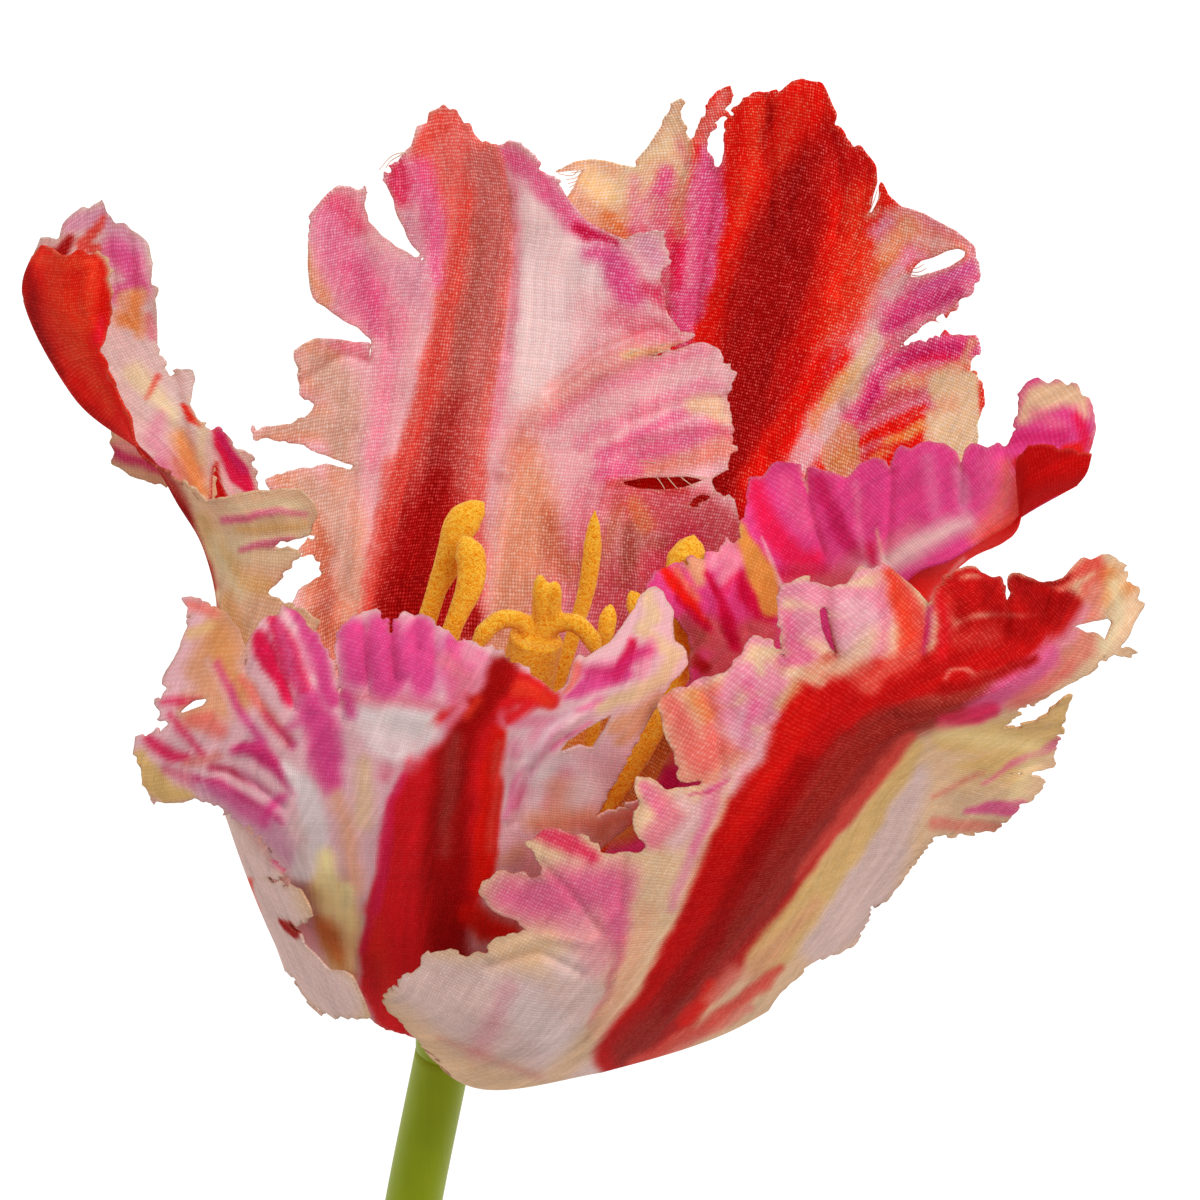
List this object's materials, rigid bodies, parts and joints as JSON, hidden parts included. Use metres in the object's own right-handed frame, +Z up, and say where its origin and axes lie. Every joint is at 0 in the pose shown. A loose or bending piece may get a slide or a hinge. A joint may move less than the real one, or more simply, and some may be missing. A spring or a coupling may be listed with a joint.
{
  "type": "artificial parrot tulip",
  "caption": "Cut artificial parrot tulip lying on its back: ruffled, fringed printed-cloth petals in reds, pinks and creams around golden flocked stamens, on a bent green stem",
  "frame": {"origin": "On the surface that the flower lies on, at the bottom centre of the box around it", "axes": "+Z up, +Y from the stem's cut end toward the petals' tips, +X to the bloom's right as its open face is looked down on"},
  "size_m": [0.1114, 0.2464, 0.0796],
  "materials": {
    "petal_back_left": "matte printed cloth",
    "petal_back_right": "matte printed cloth",
    "petal_right": "matte printed cloth",
    "petal_front_right": "matte printed cloth",
    "petal_front_left": "matte printed cloth",
    "petal_left": "matte printed cloth",
    "pistil": "flocked, granular",
    "stamen": "flocked, granular",
    "receptacle": "satin",
    "stem": "satin"
  },
  "bodies": {
    "root": {"petal_back_left": "petal_back_left", "petal_back_right": "petal_back_right", "petal_right": "petal_right", "petal_front_right": "petal_front_right", "petal_front_left": "petal_front_left", "petal_left": "petal_left", "pistil": "pistil", "stamen_1": "stamen", "stamen_2": "stamen", "stamen_3": "stamen", "stamen_4": "stamen", "stamen_5": "stamen", "stamen_6": "stamen", "receptacle": "receptacle", "stem": "stem"}
  },
  "joints": []
}
